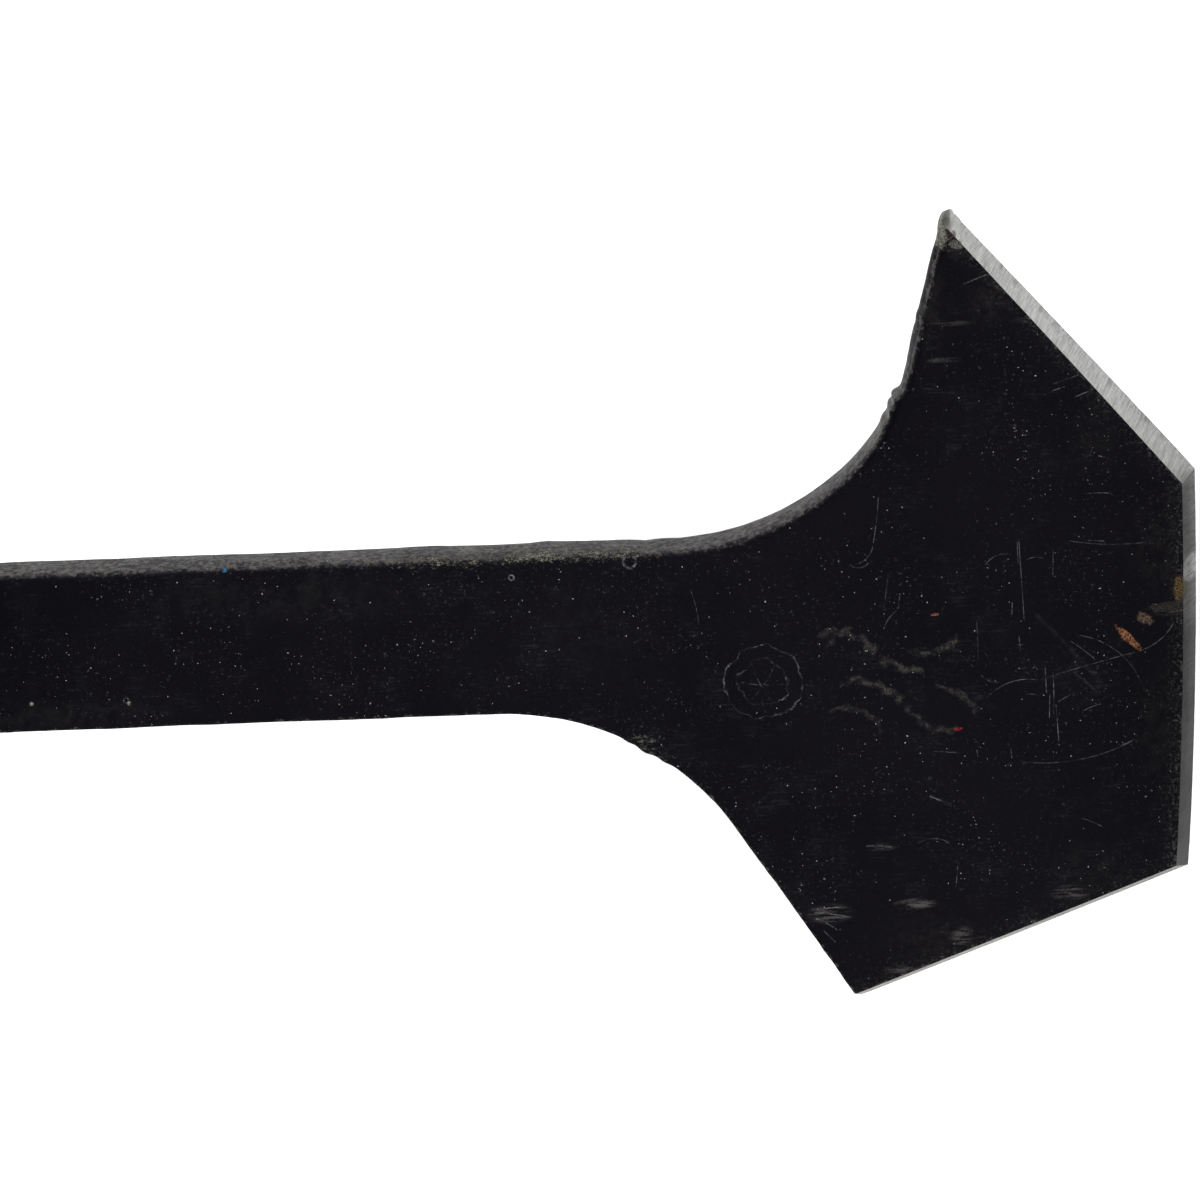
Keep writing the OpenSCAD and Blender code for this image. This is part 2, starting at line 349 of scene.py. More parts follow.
# Broad curving bands where the paint is rubbed thin: start, end, bow, width and strength.
RUBS = [
    ((-1.4, 46), (-4.4, 38.6), 1.6, 0.9, 0.7), ((-4.4, 38.6), (-6.4, 33.2), -0.5, 0.75, 0.8),
    ((-3.6, 35.4), (-2, 28.8), -1.2, 0.7, 0.75), ((-7.6, 43.4), (-10.6, 35.6), 1.3, 0.8, 0.85),
    ((-10.6, 35.6), (-14.2, 29), -1.1, 0.7, 0.6), ((-11.2, 44.8), (-14, 38.4), 1.5, 0.7, 0.6),
    ((-8.2, 32.4), (-12.6, 26.6), 1, 0.6, 0.55), ((-0.4, 41.6), (-3, 44.8), -0.7, 0.6, 0.5),
]
# Broken scratches on the back, in the same terms.
BACK_SCRATCHES = [
    ((-24, 36), (-8, 25), 0.8, 0.1, 0.6), ((-19, 33.5), (-12, 28), 0.2, 0.14, 0.5),
    ((6, 14), (24, 19), -1.2, 0.1, 0.55), ((14, 30), (17, 18), 0.3, 0.09, 0.5),
    ((-6, 62), (3, 44), 1.5, 0.1, 0.45), ((-3, 96), (1.5, 74), 0.4, 0.09, 0.5),
    ((4, 150), (6, 128), -0.3, 0.1, 0.45), ((-30, 12), (-22, 20), 0.5, 0.12, 0.5),
    ((2, 292), (-3.5, 282), 0.3, 0.12, 0.6),
]
# Scuffed patches on the back: middle, size across and up, strength.
BACK_SCUFFS = [
    ((-31, 33), (8, 1.6), 0.42), ((8, 9), (10, 1.5), 0.4), ((28, 22), (5, 1.3), 0.36),
    ((1.5, 118), (1.6, 16), 0.32), ((-3, 70), (1.4, 11), 0.3),
]
# Rust chips, weathered chips and stains: middle, half sizes across and up, turn in degrees, dark and
# light colour.
STAINS = [
    ((-3.1, 8.6), (2.3, 0.55), -43, (0.05, 0.019, 0.01), (0.34, 0.15, 0.075)),
    ((-0.7, 6.6), (1.2, 0.75), -60, (0.02, 0.014, 0.011), (0.15, 0.1, 0.07)),
    ((0.6, 4), (0.7, 2.6), 0, (0.006, 0.006, 0.006), (0.045, 0.044, 0.036)),
    ((3, 2.4), (1.9, 0.8), 0, (0.02, 0.014, 0.008), (0.16, 0.11, 0.045)),
    ((0.8, 31.7), (0.2, 0.6), 0, (0.05, 0.012, 0.008), (0.32, 0.11, 0.05)),
    ((-14, 29.2), (0.3, 0.6), 0, (0.04, 0.004, 0.004), (0.26, 0.02, 0.02)),
    ((47, 28.2), (0.6, 1), 20, (0.03, 0.03, 0.028), (0.16, 0.155, 0.14)),
    ((48.6, 28.9), (1, 0.6), 0, (0.02, 0.012, 0.012), (0.07, 0.05, 0.05)),
]
# Layers of dust specks: cell, radius, share of cells, shift and stretch.
DUST = [
    (0.5, 0.075, 0.26, (0, 0, 0), (1, 1, 1)), (0.85, 0.1, 0.08, (5.3, 2.1, 9.7), (1, 1, 1)),
    (2.2, 0.15, 0.08, (13.1, 4.4, 2.9), (1, 1, 1)), (0.9, 0.06, 0.16, (3.1, 7.4, 1.9), (1, 1, 4)),
    (0.9, 0.06, 0.12, (9.1, 1.4, 6.9), (4, 1, 1)),
]
# Clay and lime left on the face: middle, radius.
CLAY = [((-6.7, 128.6), 0.36), ((-6.3, 140.4), 0.34), ((-2, 133), 0.12), ((30.2, 35), 0.2)]
# Rings left by splashes: middle, radius, half width, strength.
RINGS = [((7.5, 82.2), 0.32, 0.13, 0.5), ((8.9, 68), 0.75, 0.2, 0.45), ((-6.3, 129), 0.3, 0.1, 0.4)]
# A drop of blue marking paint: middle, radius, colour.
DROPS = [((9.7, 116.4), 0.3, (0.02, 0.14, 0.3))]
# A plain round inspection stamp: middle, and the radius and strength of each ring.
STAMP_AT = (-7.1, 52.6)
STAMP_RINGS = [(4.7, 0.55), (2.9, 0.4)]
# Spokes across its middle: angle in degrees and strength.
STAMP_SPOKES = [(25, 0.4), (85, 0.3), (145, 0.45)]


def flat(nodes):
    """The place on the flat of the chisel: x and z in millimetres, with y left out."""
    return nodes.vector_math("MULTIPLY", nodes.mm, (1, 0, 1))


def away_from(nodes, plane, x, z):
    """Distance from a point on the flat."""
    return nodes.vector_math("DISTANCE", plane, (x, 0, z))


def circle(nodes, distance, radius, inner, outer, strength):
    """A ring: strong within inner of the radius, nothing beyond outer."""
    off = nodes.math("ABSOLUTE", nodes.minus(distance, radius))
    return nodes.ramp(off, inner, outer, strength, 0)


def dot(nodes, middle, core, radius):
    """A round spot on the flat that fades from core of its radius outwards."""
    return nodes.ramp(away_from(nodes, nodes.plane, *middle), core * radius, radius, 1, 0)


def strongest(nodes, masks):
    """The largest of several masks, each used up before the next one's nodes are made."""
    total = None
    for mask in masks:
        total = mask if total is None else nodes.math("MAXIMUM", total, mask)
    return total


def bowed_line(nodes, plane, start, end, bow, width, strength):
    """A bowed line that fades at both ends."""
    a, b = Vector(start), Vector(end)
    half = (b - a).length / 2
    sag = bow if abs(bow) > 0.01 else 0.01
    radius = (half * half + sag * sag) / (2 * abs(sag))
    side = left_of((b - a).normalized()) * math.copysign(1, sag)
    top = (a + b) / 2 + side * abs(sag)
    centre = top - side * radius
    line = circle(nodes, away_from(nodes, plane, *centre), radius, 0.1 * width, 0.8 * width, strength)
    reach = nodes.ramp(away_from(nodes, plane, *((a + b) / 2)), 0.8 * half, half, 1, 0)
    return nodes.times(line, reach)


def oval_mask(nodes, plane, middle, size, turn=0, soft=0.6, torn=None):
    """1 inside an oval of the given half sizes, 0 outside. Torn makes its rim ragged."""
    cos, sin = math.cos(math.radians(turn)), math.sin(math.radians(turn))
    away = nodes.vector_math("SUBTRACT", plane, (middle[0], 0, middle[1]))
    across = nodes.vector_math("DOT_PRODUCT", away, (cos / size[0], 0, -sin / size[0]))
    up = nodes.vector_math("DOT_PRODUCT", away, (sin / size[1], 0, cos / size[1]))
    reach = nodes.plus(nodes.times(across, across), nodes.times(up, up))
    reach = nodes.math("SQRT", reach)
    if torn is not None:
        reach = nodes.plus(reach, torn)
    return nodes.ramp(reach, 1 - soft, 1, 1, 0)


def inspection_stamp(n, plane, wear):
    """Faint, half lost rings and spokes of a plain round stamp, and how deep it is cut."""
    sway = n.times(n.minus(n.noise(2.6, 3, 0.6, offset=(5, 1, 9)), 0.5), 2.2)
    distance = n.plus(away_from(n, plane, *STAMP_AT), sway)
    whole = strongest(n, (
        circle(n, distance, radius, 0.04, 0.14, strength) for radius, strength in STAMP_RINGS
    ))
    middle = Vector(STAMP_AT)
    for angle, strength in STAMP_SPOKES:
        reach = Vector((math.cos(math.radians(angle)), math.sin(math.radians(angle)))) * STAMP_RINGS[1][0]
        spoke = bowed_line(n, plane, middle - reach, middle + reach, 0.3, 0.12, strength)
        whole = n.math("MAXIMUM", whole, spoke)
    lost = n.ramp(n.noise(3.2, 3, 0.6, offset=(2, 6, 4)), 0.42, 0.6, 0.1, 1)
    return n.times(n.times(whole, lost), n.ramp(wear, 0.44, 0.6, 0.1, 1))


def all_lines(n, plane, lines):
    """The strongest of a list of bowed lines."""
    return strongest(n, (bowed_line(n, plane, *line) for line in lines))


def all_ovals(n, plane, marks, soft=0.7):
    """The strongest of a list of ovals: middle, size across and up, strength."""
    return strongest(n, (
        n.times(oval_mask(n, plane, middle, size, soft=soft), strength)
        for middle, size, strength in marks
    ))


def weathered_coat(n):
    """The black itself, with faint veils, rubbing along the bar, haze, a painted sheen beside the long tip's
    flank and countless faint specks.
    """
    n.colour = n.mix(n.ramp(n.noise(22, 3), 0.3, 0.7), PAINT_DARK, PAINT_PALE)
    veil = n.times(n.ramp(n.cloudy, 0.5, 0.74), n.ramp(n.grain, 0.35, 0.7))
    n.coat((0.04, 0.04, 0.045), veil, 0.12)
    n.strokes = n.noise(0.28, 3, 0.6, (1, 1, 9))
    rub = n.times(n.ramp(n.strokes, 0.54, 0.7), n.ramp(n.cloudy, 0.5, 0.64))
    n.coat((0.05, 0.05, 0.055), rub, 0.16)
    # Brown-grey haze on the front, with a painted sheen along the long tip's flank.
    haze_and_sheen = n.times(all_ovals(n, n.plane, HAZE_AND_SHEEN, 0.9), n.ramp(n.noise(1.6, 5, 0.7), 0.38, 0.66))
    n.coat((0.032, 0.03, 0.028), n.times(haze_and_sheen, n.front), 0.5)
    specks = n.ramp(n.noise(0.5, 4, 0.75, offset=(2, 4, 13)), 0.58, 0.7)
    specks = n.times(specks, n.ramp(n.patchy, 0.42, 0.6, 0.12, 1))
    n.coat((0.115, 0.113, 0.123), specks, 0.46)


def worn_sides(n):
    """Grey, streaky steel through the paint of the narrow sides, less of it on the long tip's flank."""
    streaks = n.noise(0.6, 5, 0.7, (1, 1, 6))
    n.streaky = n.plus(n.times(streaks, 0.6), n.times(n.grain, 0.4))
    mottled = n.times(n.side, n.ramp(n.streaky, 0.42, 0.62))
    across = n.vector_math("DOT_PRODUCT", n.plane, (1, 0, 0))
    n.coat((0.06, 0.059, 0.062), mottled, n.ramp(across, 24, 31, 0.55, 0.2))


def rubbed_face(n):
    """Rubbed bands, scuffs, flecks beside the bevels, chips along the edges and the stamp."""
    rubs = n.times(all_lines(n, n.shaken(n.plane, 1.5, 1.9), RUBS), n.front)
    rubs = n.times(rubs, n.ramp(n.nibbled, 0.42, 0.6, 0.1, 1))
    n.coat((0.16, 0.15, 0.125), n.times(rubs, n.ramp(n.fine, 0.42, 0.62, 0.3, 1)), 0.5)
    n.rough_strokes = n.plus(n.strokes, n.times(n.fine, 0.5))
    scuffs = n.times(all_ovals(n, n.plane, SCUFFS), n.ramp(n.rough_strokes, 0.66, 0.88))
    n.coat((0.16, 0.15, 0.14), n.times(scuffs, n.front), 0.5)
    flecks = n.ramp(n.noise(0.4, 5, 0.75, offset=(1, 5, 2)), 0.48, 0.64)
    flecks = n.times(flecks, n.ramp(n.nibbled, 0.42, 0.58, 0.2, 1))
    n.coat((0.13, 0.127, 0.115), n.times(flecks, n.attribute("flecked")), 0.62)
    chipped = n.times(n.attribute("near_edge"), 0.34)
    n.coat((0.12, 0.11, 0.095), n.ramp(n.plus(chipped, n.nibbled), 0.8, 0.92), 0.4)
    n.coat((0.32, 0.32, 0.34), n.times(inspection_stamp(n, n.plane, n.broken), n.front), 0.8)


def settled_dust(n):
    """Dust caught in the paint, thicker in some places than others."""
    often = n.ramp(n.patchy, 0.4, 0.62, 0.16, 1.15)
    dust = strongest(n, (
        n.specks(cell, radius, n.times(often, share), offset, stretch)
        for cell, radius, share, offset, stretch in DUST
    ))
    n.coat((0.62, 0.62, 0.6), dust, n.blend(n.side, 0.85, 0.4))


def scratches_and_rings(n):
    """Scratches on both faces, broken up along their length, scuffs on the back and splash rings."""
    lines = n.times(all_lines(n, n.plane, SCRATCHES), n.ramp(n.broken, 0.4, 0.62, 0.1, 1))
    lines = n.times(lines, n.ramp(n.fine, 0.36, 0.56, 0.4, 1))
    n.coat((0.29, 0.29, 0.31), lines, n.front)
    back = n.ramp(n.facing, 0.75, 0.95)
    lines = n.times(all_lines(n, n.plane, BACK_SCRATCHES), n.ramp(n.broken, 0.4, 0.62, 0.1, 1))
    n.coat((0.29, 0.29, 0.31), lines, back)
    scuffs = n.times(all_ovals(n, n.plane, BACK_SCUFFS), n.ramp(n.rough_strokes, 0.66, 0.9))
    n.coat((0.16, 0.15, 0.14), n.times(scuffs, back), 0.5)
    rings = strongest(n, (
        circle(n, away_from(n, n.plane, *middle), radius, 0.3 * half, half, strength)
        for middle, radius, half, strength in RINGS
    ))
    n.coat((0.3, 0.3, 0.3), n.times(rings, n.front), n.ramp(n.grain, 0.42, 0.58, 0.1, 1))


def clay_and_rust(n):
    """Clay caked along a corner and stuck on the face, drops of paint, rust and weathered chips."""
    n.crumbs = n.noise(0.55, 6, 0.85, (1, 1, 1.4), offset=(4, 7, 1))
    ragged = n.times(n.minus(n.crumbs, 0.5), 3.6)
    n.caked = n.ramp(n.plus(n.attribute("dirt"), ragged), 0.52, 0.85)
    n.coat(n.mix(n.ramp(n.fine, 0.38, 0.62), (0.05, 0.047, 0.034), (0.3, 0.295, 0.245)), n.caked, 0.8)
    clay = strongest(n, (dot(n, middle, 0.5, radius) for middle, radius in CLAY))
    clay = n.times(n.times(clay, n.front), n.ramp(n.grain, 0.35, 0.6))
    n.coat((0.36, 0.34, 0.26), clay, 0.7)
    for middle, radius, tint in DROPS:
        n.coat(tint, dot(n, middle, 0.3, radius), n.ramp(n.grain, 0.35, 0.55))
    torn = n.times(n.minus(n.nibbled, 0.5), 1.5)
    pits = n.ramp(n.fine, 0.42, 0.62)
    for middle, size, turn, dark, light in STAINS:
        stain = n.times(oval_mask(n, n.plane, middle, size, turn, 0.3, torn), n.front)
        n.coat(n.mix(pits, dark, light), stain)


def battered_ends(n):
    """Bare, battered steel at the struck end and the tips."""
    hammered = n.plus(n.times(n.cloudy, 0.5), n.times(n.noise(1.3, 4, 0.65), 0.5))
    metal = n.mix(n.ramp(hammered, 0.38, 0.62), (0.045, 0.04, 0.036), (0.2, 0.193, 0.178))
    ragged = n.times(n.minus(n.nibbled, 0.5), 1.4)
    n.bared = n.ramp(n.plus(n.attribute("bare"), ragged), 0.42, 0.62)
    n.coat(metal, n.bared)


def black_paint():
    """Old satin black on forged steel: dusty, scratched, rubbed at the edges, crusty on one side.

    Cycles keeps only a few unused results, so each mark is laid on as soon as it is made.
    """
    n = Nodes("worn_black_paint")
    n.plane = flat(n)
    split = n.add("ShaderNodeSeparateXYZ")
    n.link(n.normal, split.inputs[0])
    n.facing = split.outputs["Y"]
    n.front = n.ramp(n.times(n.facing, -1), 0.75, 0.95)
    n.side = n.minus(1, n.ramp(n.math("ABSOLUTE", n.facing), 0.5, 0.95))
    n.cloudy = n.noise(5, 6, 0.65)
    n.grain = n.noise(0.45, 3, 0.6)
    n.fine = n.noise(0.2, 3, 0.7, offset=(7, 5, 2))
    n.patchy = n.noise(9, 4, 0.6, offset=(17, 3, 11))
    n.broken = n.noise(0.8, 3, 0.7, offset=(3, 9, 4))
    n.nibbled = n.noise(0.7, 5, 0.7, offset=(8, 2, 6))
    weathered_coat(n)
    worn_sides(n)
    rubbed_face(n)
    settled_dust(n)
    scratches_and_rings(n)
    clay_and_rust(n)
    battered_ends(n)

    roughness = n.blend(n.caked, n.ramp(n.cloudy, 0.3, 0.7, 0.4, 0.56), 0.9)
    roughness = n.blend(n.bared, roughness, 0.5)
    n.link(n.blend(n.bared, 0, 0.55), n.shader.inputs["Metallic"])
    peel = n.plus(n.times(n.cloudy, 0.5), n.times(n.grain, 0.12))
    normal = n.bump(peel, 0.12, 0.5)
    crust = n.times(n.side, n.times(n.streaky, 0.3))
    crust = n.plus(n.times(n.caked, n.crumbs), crust)
    normal = n.bump(crust, 0.3, 0.8, normal)
    return n.finish(
        n.colour, roughness, normal, Specular_IOR_Level=0.075, Specular_Tint=(0.9, 0.84, 1, 1)
    )


def ground_steel(name, along, dark, light, stains, marks=(), metallic=1):
    """Ground bevel whose grinding lines run straight across the edge that lies along."""
    n = Nodes(name)
    turn = math.atan2(along.y, along.x)
    lines = n.noise(0.12, 4, 0.75, (1, 20, 14), (0, turn, 0))
    coarse = n.noise(0.4, 3, 0.6, (1, 12, 9), (0, turn, 0), (4, 1, 7))
    blotch = n.noise(5, 5, 0.65)
    grain = n.noise(0.5, 4, 0.65)
    tone = n.plus(n.times(lines, 0.65), n.times(coarse, 0.35))
    tone = n.plus(n.times(tone, 0.8), n.times(grain, 0.2))
    colour = n.mix(n.ramp(tone, 0.36, 0.62), dark, light)
    dull = n.times(n.ramp(blotch, 0.46, 0.7), stains)
    colour = n.mix(n.times(dull, 0.6), colour, tuple(0.5 * c for c in dark))
    for middle, size, tint in marks:
        spot = oval_mask(n, flat(n), middle, size, soft=0.35)
        colour = n.mix(n.times(spot, n.ramp(tone, 0.4, 0.58, 0.35, 1)), colour, tint)
    # Nicks along the thin outer edge.
    rim = n.attribute("rim")
    nicks = n.ramp(n.noise(0.5, 3, 0.7, (1, 6, 6), (0, turn, 0), (9, 2, 3)), 0.5, 0.64)
    nicks = n.times(rim, nicks)
    colour = n.mix(n.times(nicks, 0.6), colour, tuple(0.4 * c for c in dark))
    roughness = n.ramp(tone, 0.3, 0.7, 0.46, 0.32)
    roughness = n.blend(dull, roughness, 0.6)
    n.link(n.blend(dull, metallic, 0.6 * metallic), n.shader.inputs["Metallic"])
    normal = n.bump(tone, 0.02, 0.6)
    normal = n.bump(grain, 0.01, 0.4, normal)
    return n.finish(colour, roughness, normal)


# ---- the chisel's shape

class GroundEdge:
    """One bevel: the arc from a to b where it leaves the front face, bowed slightly outwards."""

    def __init__(self, a, b, bow):
        self.a, self.b, self.bow = a, b, bow
        along = (b - a).normalized()
        half = (b - a).length / 2
        self.along = along
        self.centre = (a + b) / 2 + left_of(along) * math.sqrt(bow * bow - half * half)

    def beyond(self, p):
        """How far p lies outside the arc."""
        return (p - self.centre).length - self.bow

    def outward(self, p):
        return (p - self.centre).normalized()


EDGES = [GroundEdge(TIP_L, CORNER_L, SIDE_BOW), GroundEdge(CORNER_L, CORNER_R, FRONT_BOW),
         GroundEdge(CORNER_R, TIP_R, SIDE_BOW)]


def back_y(p):
    """The back face's y: three facets that taper the head, eased where they meet."""
    facets = (
        3.5 + p.y * math.tan(math.radians(3.1)),
        5 - p.x * math.tan(math.radians(4.7)) + p.y * math.tan(math.radians(3.6)),
        5 + p.x * math.tan(math.radians(2.7)) + p.y * math.tan(math.radians(0.6)),
        -2 * FRONT_Y,
    )
    sharp = 14
    least = min(facets)
    eased = least - math.log(sum(math.exp(-sharp * (f - least)) for f in facets)) / sharp
    return FRONT_Y + eased


def bevel_width(p):
    """Width in plan of a bevel whose outer edge is at p, short of a thin blunt land."""
    return (back_y(p) - FRONT_Y - LAND) / BEVEL_SLOPE


def outer_point(edge, p):
    """The bevel's outer edge, straight out from the point p of its arc."""
    out = edge.outward(p)
    q = p
    for _ in range(4):
        q = p + out * bevel_width(q)
    return q


def outer_corner(edge, following, p):
    """Where the outer edges of two bevels meet, beyond their shared corner p."""
    a, b = edge.outward(p), following.outward(p)
    mitre = (a + b) / (1 + a.dot(b))
    q = p
    for _ in range(4):
        q = p + mitre * bevel_width(q)
    return q


def neck(side, sign):
    """Neck circle and flank of one side: (centre, start of the flank, flank's direction to the tip)."""
    angle = math.radians(side["angle"])
    x = BAR_HALF + side["r"]
    z = side["end_z"] + (side["reach"] - x) * math.tan(angle) + side["r"] / math.cos(angle)
    start = Vector((x - side["r"] * math.sin(angle), z - side["r"] * math.cos(angle)))
    centre = Vector((sign * x, z))
    return centre, Vector((sign * start.x, start.y)), Vector((sign * math.cos(angle), -math.sin(angle)))


def rounded_corner(before, corner, after, radius, step):
    """Arc that rounds the corner between the points before and after."""
    u, v = (before - corner).normalized(), (after - corner).normalized()
    half = math.acos(max(-1, min(1, u.dot(v)))) / 2
    centre = corner + (u + v).normalized() * (radius / math.sin(half))
    first = corner + u * (radius / math.tan(half)) - centre
    last = corner + v * (radius / math.tan(half)) - centre
    turn = first.angle_signed(last)
    count = max(3, round(abs(turn) * radius / step))
    points = []
    for i in range(count + 1):
        spun = first.copy()
        spun.rotate(Matrix.Rotation(-turn * i / count, 2))
        points.append(centre + spun)
    return points


def arc(centre, radius, start, end, step):
    """Points round a circle from one angle to another, without the last."""
    count = max(2, round(abs(end - start) * radius / step))
    angles = [start + (end - start) * i / count for i in range(count)]
    return [centre + Vector((math.cos(a), math.sin(a))) * radius for a in angles]


def mushroom(z):
    """How far the struck end has spread, near its top."""
    return 0.6 * bump_at(TOTAL_L - z, 2.2) + 0.2 * bump_at(TOTAL_L - z, 7)


def plan_outline():
    """Outline of the chisel, anticlockwise, as (point, kind) with kind "ground" or "wall"."""
    fine, plain = 0.32, 0.9
    left, front, right = EDGES
    low_left = outer_corner(left, front, CORNER_L)
    low_right = outer_corner(front, right, CORNER_R)
    centre_r, start_r, flank_r = neck(NECK_R, 1)
    centre_l, start_l, flank_l = neck(NECK_L, -1)
    out_r, out_l = outer_point(right, TIP_R), outer_point(left, TIP_L)
    peak_r = crossing(out_r, right.along, start_r, flank_r)
    peak_l = crossing(out_l, left.along, start_l, flank_l)
    round_r = rounded_corner(out_r, peak_r, start_r, TIP_ROUND["right"], 0.12)
    round_l = rounded_corner(start_l, peak_l, out_l, TIP_ROUND["left"], 0.12)

    outline = [(p, "ground") for p in spaced(low_left, low_right, fine)]
    for i, (p, _) in enumerate(outline[1:], 1):
        inner = p - front.outward(p) * front.beyond(p)
        outline[i] = (outer_point(front, inner), "ground")
    for p in spaced(low_right, round_r[0], fine):
        inner = p - right.outward(p) * right.beyond(p)
        outline.append((outer_point(right, inner) if p != low_right else p, "ground"))
    outline += [(p, "wall") for p in round_r[:-1]]
    outline += [(p, "wall") for p in spaced(round_r[-1], start_r, fine)]
    away = start_r - centre_r
    outline += [(p, "wall") for p in arc(centre_r, NECK_R["r"], math.atan2(away.y, away.x), -math.pi, fine)]

    tang = BAR_HALF - TANG_STEP
    right_side = spaced(Vector((BAR_HALF, centre_r.y)), Vector((BAR_HALF, TANG_Z + 1)), plain)
    right_side += spaced(Vector((tang, TANG_Z + 1.2)), Vector((tang, TOTAL_L - 12)), 2 * plain)
    right_side += [
        p + Vector((mushroom(p.y), 0))
        for p in spaced(Vector((tang, TOTAL_L - 12)), Vector((tang, TOTAL_L - 1)), 0.4)
    ]
    top = rounded_corner(
        Vector((tang + 0.9, TOTAL_L - 9)), Vector((tang + 0.9, TOTAL_L)), Vector((0, TOTAL_L)), 1, 0.25)
    top += spaced(top[-1], Vector((0, TOTAL_L)), 0.4)[1:]
    outline += [(p, "wall") for p in right_side + top]
    mirrored = [Vector((-p.x, p.y)) for p in reversed(right_side + top) if p.y > centre_l.y]
    outline += [(Vector((0, TOTAL_L)), "wall")] + [(p, "wall") for p in mirrored]

    away = start_l - centre_l
    outline += [(p, "wall") for p in arc(centre_l, NECK_L["r"], 0, math.atan2(away.y, away.x), fine)]
    outline += [(p, "wall") for p in spaced(start_l, round_l[0], fine)]
    outline += [(p, "wall") for p in round_l[:-1]]
    for p in spaced(round_l[-1], low_left, fine):
        inner = p - left.outward(p) * left.beyond(p)
        outline.append((outer_point(left, inner), "ground"))
    return outline


# Lumps and dents left on the forged sides: place, reach along the side, height outwards.
FLASH = [
    ((-13.4, 68.6), 0.8, 0.28), ((-14.8, 66.6), 1.3, 0.42), ((-16.6, 64.6), 0.9, 0.2),
    ((27.7, 35.5), 0.55, 0.6), ((26.4, 36), 0.8, 0.55), ((24.8, 37.2), 0.9, 0.3),
    ((38, 32.6), 0.6, 0.14), ((10.4, 78), 1.5, 0.16), ((10.4, 66), 0.9, -0.3),
    ((10.4, 92), 2.2, 0.12), ((-33, 51), 1.2, -0.12), ((49.7, 29.5), 0.9, 0.45),
]


def lumps_at(p, lumps):
    """Height at p of a list of round lumps: place, reach and height."""
    return sum(height * bump_at((p - Vector(at)).length, reach) for at, reach, height in lumps)


def gripped(z):
    """1 where the grip hides the bar, 0 where the bar is bare."""
    return smooth(TANG_Z - 2, TANG_Z, z) * (1 - smooth(*GRIP_TOP, z))


def side_bulge(p, kind):
    """How far the outline stands out of true at p: forging waviness, flash and small dents."""
    if kind == "ground":
        return 0.02 * rough(p.x, 1, p.y, 1.1) - 0.04 * smooth(0.35, 0.7, rough(p.x, 4, p.y, 1.9, 5))
    lumps = lumps_at(p, FLASH)
    wavy = 0.07 * rough(p.x, 0, p.y, 9) + 0.035 * rough(p.x, 3, p.y, 1.9) + 0.02 * rough(p.x, 7, p.y, 0.7)
    struck = smooth(TOTAL_L - 9, TOTAL_L - 1, p.y)
    swell = BAR_SWELL * smooth(48, 62, p.y) * (1 - smooth(TANG_Z - 3, TANG_Z - 1, p.y))
    return (wavy * (1 + 2.5 * struck) + lumps + swell) * (1 - gripped(p.y))


def outward_normals(points):
    """Outward direction at each point of an anticlockwise loop."""
    count = len(points)
    return [-left_of((points[(i + 1) % count] - points[i - 1]).normalized()) for i in range(count)]


def edge_round(p):
    """Radius of the softened long edges at p: generous along the bar's right side, crisp on its left."""
    right = smooth(-2, 8, p.x) * (1 - 0.45 * smooth(24, 34, p.x))
    return 0.3 + 0.6 * right + 0.16 * rough(p.x, 2, p.y, 6) + 0.45 * smooth(TOTAL_L - 6, TOTAL_L, p.y)


class Walls:
    """Distance to the forged sides, for rounding the edges next to them."""

    def __init__(self, outline, normals):
        self.samples = []
        for i, (p, kind) in enumerate(outline):
            q, next_kind = outline[(i + 1) % len(outline)]
            if kind == "wall" and next_kind == "wall":
                for k in range(4):
                    self.samples.append((p.lerp(q, k / 4), normals[i]))
        self.tree = search_tree([p for p, _ in self.samples])

    def inside(self, p):
        """(depth inside the nearest side, distance to it)."""
        index, distance = nearest(self.tree, p)
        q, out = self.samples[index]
        return max(0, (q - p).dot(out)), distance


def rounding(p, walls):
    """How far the rounded edge drops below the flat of the face at p."""
    radius = edge_round(p)
    depth, distance = walls.inside(p)
    if distance > 2 * radius or depth >= radius:
        return 0
    depth = max(depth, 0)
    return radius - math.sqrt(max(0, radius * radius - (radius - depth) ** 2))


# Shallow dents in the flats: place, radius, depth.
DENTS = [
    ((8.7, 68), 0.8, 0.16), ((7.4, 81.7), 0.6, 0.08), ((-3, 8.6), 1, 0.07), ((-1, 6.6), 0.9, 0.06),
    ((-36.4, 34.8), 1.6, 0.05), ((12, 47), 1.2, 0.04), ((-20, 20), 1.5, 0.04),
    ((30, 22), 1.3, 0.04), ((3, 112), 1.6, 0.05), ((-5, 95), 1.2, 0.04), ((49.2, 28.6), 1, 0.12),
]


def face_relief(p, seed):
    """Unevenness of a face, inwards positive."""
    wave = 0.05 * rough(p.x, seed, p.y, 26) + 0.02 * rough(p.x, seed, p.y, 7)
    wave += 0.006 * rough(p.x, seed, p.y, 1.6)
    return wave + lumps_at(p, DENTS)


def front_surface(p, walls):
    """y of the front at p."""
    bevel = max(edge.beyond(p) for edge in EDGES) * BEVEL_SLOPE
    step = TANG_STEP * smooth(TANG_Z + 1, TANG_Z + 1.2, p.y) - mushroom(p.y)
    relief = face_relief(p, 1) * (1 - smooth(-0.4, 0, bevel)) * (1 - smooth(TANG_Z - 2, TANG_Z, p.y))
    return FRONT_Y + max(0, bevel) + max(relief, -0.02) + step + rounding(p, walls)


def back_surface(p, walls):
    """y of the back at p."""
    step = TANG_STEP * smooth(TANG_Z + 1, TANG_Z + 1.2, p.y) - mushroom(p.y)
    relief = face_relief(p, 9) * (1 - smooth(TANG_Z - 2, TANG_Z, p.y))
    near_ground = smooth(-1.2, 0.2, max(edge.beyond(p) for edge in EDGES))
    return back_y(p) - max(relief, -0.02) * (1 - near_ground) - step - rounding(p, walls) * (1 - near_ground)


